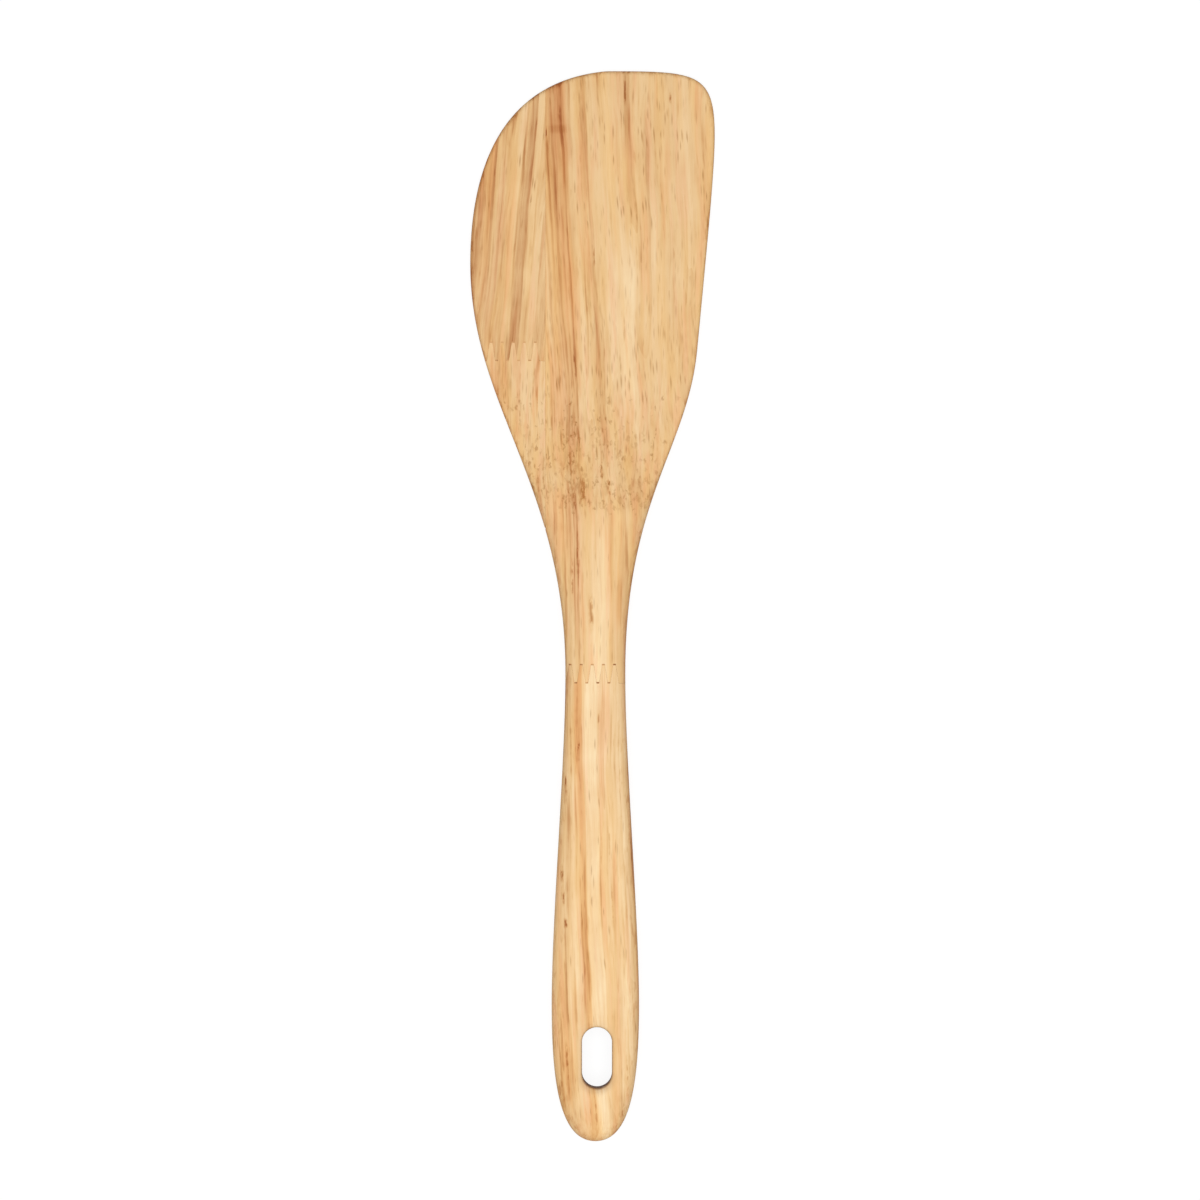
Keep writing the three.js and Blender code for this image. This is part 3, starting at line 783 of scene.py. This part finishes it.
handle_streaks = [
    (-4.6, 1.4, 96, 150, 0.24), (-4.3, 1.2, -12, 116, 0.2), (-3.7, 0.5, 26, 92, 0.26),
    (-1.2, 2.0, -20, 152, -0.2), (0.0, 14.0, -14, 20, 0.12), (3.9, 0.7, 56, 84, 0.2),
    (7.8, 0.9, 70, 140, -0.18), (9.9, 0.5, 30, 110, 0.22), (-7.4, 0.4, 22, 64, 0.26),
    (6.3, 0.3, 44, 74, 0.24), (1.9, 0.35, 96, 140, 0.2), (0.7, 0.35, 52, 98, 0.22),
    (2.7, 0.4, 48, 100, 0.26), (2.6, 0.3, 106, 146, 0.18), (-9.2, 0.6, 4, 66, 0.28),
    (8.8, 1.8, 60, 150, 0.2), (3.0, 1.0, 24, 56, 0.14), (4.0, 0.5, -4, 36, 0.24),
    (-7.9, 0.7, 54, 146, 0.18), (-6.6, 0.8, 80, 124, -0.16), (6.6, 1.7, 14, 84, -0.22),
    (-6.9, 1.1, 36, 84, -0.14), (-5.9, 0.3, 60, 112, 0.18), (-8.3, 0.4, 93, 107, 0.28),
    (-4.4, 0.3, 106, 113, 0.7), (-10.0, 0.5, 72, 78, 0.6), (-9.7, 0.4, 65, 71, 0.5),
    (-9.4, 0.6, 59.5, 63, 0.6), (-8.6, 0.4, 98, 103, 0.3), (1.1, 0.3, 115, 121, 0.4),
    (-12.0, 0.8, 6, 34, 0.3), (-10.6, 0.5, 14, 30, 0.3), (6.0, 0.4, 8, 28, 0.3), (9.6, 0.6, 20, 30, 0.3),
    (5.4, 0.35, 66, 130, 0.14), (4.4, 0.25, 100, 136, 0.14), (7.4, 0.3, 36, 88, 0.16),
    (-2.9, 0.25, 70, 130, 0.2), (-3.2, 0.22, 20, 112, 0.2), (-5.6, 0.22, 66, 108, 0.28),
    (3.2, 0.25, 76, 92, 0.34), (1.0, 0.22, 72, 90, 0.3), (3.6, 0.25, 58, 76, 0.32),
    (0.8, 0.2, 48, 72, 0.26), (7.6, 0.3, 50, 78, 0.2), (-4.8, 0.22, 30, 76, 0.18),
    (-3.3, 0.3, 1, 18, 0.3),
]
handle_tints = [
    (-4.8, 1.5, 98, 146, 0.6), (-4.0, 1.0, 10, 112, 0.6), (-7.4, 0.8, 22, 64, 0.5),
    (4.4, 1.0, 50, 92, 0.5), (-1.5, 1.6, -16, 150, -0.3), (8.8, 2.0, 60, 150, 0.2),
    (-11.0, 1.6, 2, 60, 0.4), (-5.0, 4.0, -10, 16, 0.5), (0.0, 14.0, -40, 170, -0.12),
    (6.6, 2.6, 20, 110, -0.3), (-8.6, 2.6, 20, 120, -0.25),
]
handle_board.data.materials.append(
    wood("handle_board_wood", 0.36, handle_streaks, handle_tints, bow=-0.000233, bend_at=131, upwards=False,
         seed=17.9, pores=0.14, rim_width=2.4, figure=1.14)
)
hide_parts("handle_stave")
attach(handle_board, "root")

# Glue lines: cured brown wood glue, squeezed thin between the staves and a little below the sanded faces.
# It is thicker only in the pockets at the finger tips, which show as small dark marks.
glue_sink = 0.01
film_rows = 140
film_short_of_top = 0.3


def glue(name, dark, light, paler_from, paler_to, lift):
    """Cured glue: from a dark to a light brown by a slow noise, and lifted towards the light brown between
    two heights along the length, past which the staves were pressed tighter."""
    material = bpy.data.materials.new(name)
    material.use_nodes = True
    nodes, link = material.node_tree.nodes, material.node_tree.links.new
    place = nodes.new("ShaderNodeTexCoord").outputs["Object"]
    mottle = nodes.new("ShaderNodeTexNoise")
    link(place, mottle.inputs["Vector"])
    mottle.inputs["Scale"].default_value = 420
    split = nodes.new("ShaderNodeSeparateXYZ")
    link(place, split.inputs[0])
    pressed = nodes.new("ShaderNodeMapRange")
    link(split.outputs["Y"], pressed.inputs["Value"])
    pressed.inputs["From Min"].default_value = (paler_from - middle_of_box[1]) / mm_per_m
    pressed.inputs["From Max"].default_value = (paler_to - middle_of_box[1]) / mm_per_m
    pressed.inputs["To Max"].default_value = lift
    lightness = nodes.new("ShaderNodeMath")
    link(mottle.outputs["Fac"], lightness.inputs[0])
    link(pressed.outputs["Result"], lightness.inputs[1])
    shades = nodes.new("ShaderNodeValToRGB")
    for element, position, colour in zip(shades.color_ramp.elements, (0.42, 0.64), (dark, light)):
        element.position = position
        element.color = tone(*colour)
    link(lightness.outputs[0], shades.inputs[0])
    shader = nodes["Principled BSDF"]
    link(shades.outputs[0], shader.inputs["Base Color"])
    shader.inputs["Roughness"].default_value = 0.6
    shader.inputs["Specular IOR Level"].default_value = 0.1
    return material


def glue_film(name, plan, material, node):
    """A film of glue over a plan strip, sunk a little below the wood on both faces."""
    film = slab(name, [plan], lambda p: front_height(p) - glue_sink, lambda p: back_height(p) + glue_sink)
    film.data.materials.append(material)
    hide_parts(node)
    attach(film, "root")


finger_glue = glue(
    "finger_glue", (160, 102, 58), (220, 168, 114), blade_joint_y - 2.4, blade_joint_y + 1.6, 0.2
)
edge_line_glue = glue("edge_glue", (176, 122, 76), (214, 164, 112), 180, 210, 0.1)
film_y = np.linspace(lower_end, main_left_top - film_short_of_top, film_rows)
edge_strip = np.stack([plan_at(x, film_y) for x in (left_edge_x, main_left_x)], 1)
glue_film("edge_glue", edge_strip, edge_line_glue, "edge_glue_line")
neck_strip = np.stack([handle_head, main_foot])
glue_film("neck_finger_glue", neck_strip, finger_glue, "neck_finger_glue_line")
blade_strip = np.stack([lower_head, upper_foot])
glue_film("blade_finger_glue", blade_strip, finger_glue, "blade_finger_glue_line")

# Studio: a plain white floor, one large soft lamp overhead and even light all round.
# The camera looks straight down, with the blade at the top of the picture.
floor_size = 3.0
paper_in_room = 0.7
paper_in_view = 0.15
glow_in_view = 0.885
light_all_round = 0.25
lamp_back, lamp_up = 0.3, 1.7
floor_mesh = bpy.data.meshes.new("floor")
corners = floor_size * (np.array([[0, 0, 0], [1, 0, 0], [1, 1, 0], [0, 1, 0]]) - [0.5, 0.5, 0])
floor_mesh.from_pydata(corners.tolist(), [], [[0, 1, 2, 3]])
floor = bpy.data.objects.new("floor", floor_mesh)
bpy.context.scene.collection.objects.link(floor)
paper = bpy.data.materials.new("floor_paper")
paper.use_nodes = True
nodes, link = paper.node_tree.nodes, paper.node_tree.links.new
path = nodes.new("ShaderNodeLightPath")
seen = nodes.new("ShaderNodeMath")
seen.operation = "ADD"
link(path.outputs["Is Camera Ray"], seen.inputs[0])
link(path.outputs["Is Glossy Ray"], seen.inputs[1])
seen_through = nodes.new("ShaderNodeMath")
seen_through.operation = "ADD"
link(seen.outputs[0], seen_through.inputs[0])
link(path.outputs["Is Transmission Ray"], seen_through.inputs[1])
paper_colour = nodes.new("ShaderNodeMix")
paper_colour.data_type = "RGBA"
paper_colour.inputs["A"].default_value = (paper_in_room, paper_in_room, paper_in_room, 1)
paper_colour.inputs["B"].default_value = (paper_in_view, paper_in_view, paper_in_view, 1)
link(seen_through.outputs[0], paper_colour.inputs["Factor"])
paper_glow = nodes.new("ShaderNodeMath")
paper_glow.operation = "MULTIPLY"
link(seen_through.outputs[0], paper_glow.inputs[0])
paper_glow.inputs[1].default_value = glow_in_view
shader = nodes["Principled BSDF"]
link(paper_colour.outputs["Result"], shader.inputs["Base Color"])
shader.inputs["Roughness"].default_value = 0.9
shader.inputs["Specular IOR Level"].default_value = 0.0
shader.inputs["Emission Color"].default_value = (1, 1, 1, 1)
link(paper_glow.outputs[0], shader.inputs["Emission Strength"])
floor_mesh.materials.append(paper)

world = bpy.data.worlds.new("studio")
bpy.context.scene.world = world
world.use_nodes = True
nodes, link = world.node_tree.nodes, world.node_tree.links.new
path = nodes.new("ShaderNodeLightPath")
seen = nodes.new("ShaderNodeMath")
seen.operation = "MAXIMUM"
link(path.outputs["Is Camera Ray"], seen.inputs[0])
seen.inputs[1].default_value = light_all_round
nodes["Background"].inputs["Color"].default_value = (1, 1, 1, 1)
link(seen.outputs[0], nodes["Background"].inputs["Strength"])
lamp = bpy.data.lights.new("overhead", "AREA")
lamp.size = 1.4
lamp.energy = 27
overhead = bpy.data.objects.new("overhead", lamp)
overhead.location = (0, -lamp_back, lamp_up)
overhead.rotation_euler = (math.atan2(-lamp_back, lamp_up), 0, 0)
bpy.context.scene.collection.objects.link(overhead)

camera = bpy.data.cameras.new("camera")
camera.lens = 272.4
eye = bpy.data.objects.new("camera", camera)
eye.location = (0.0021, 0.0016, 2.55)
bpy.context.scene.collection.objects.link(eye)
bpy.context.scene.camera = eye
bpy.context.scene.view_settings.view_transform = "Standard"
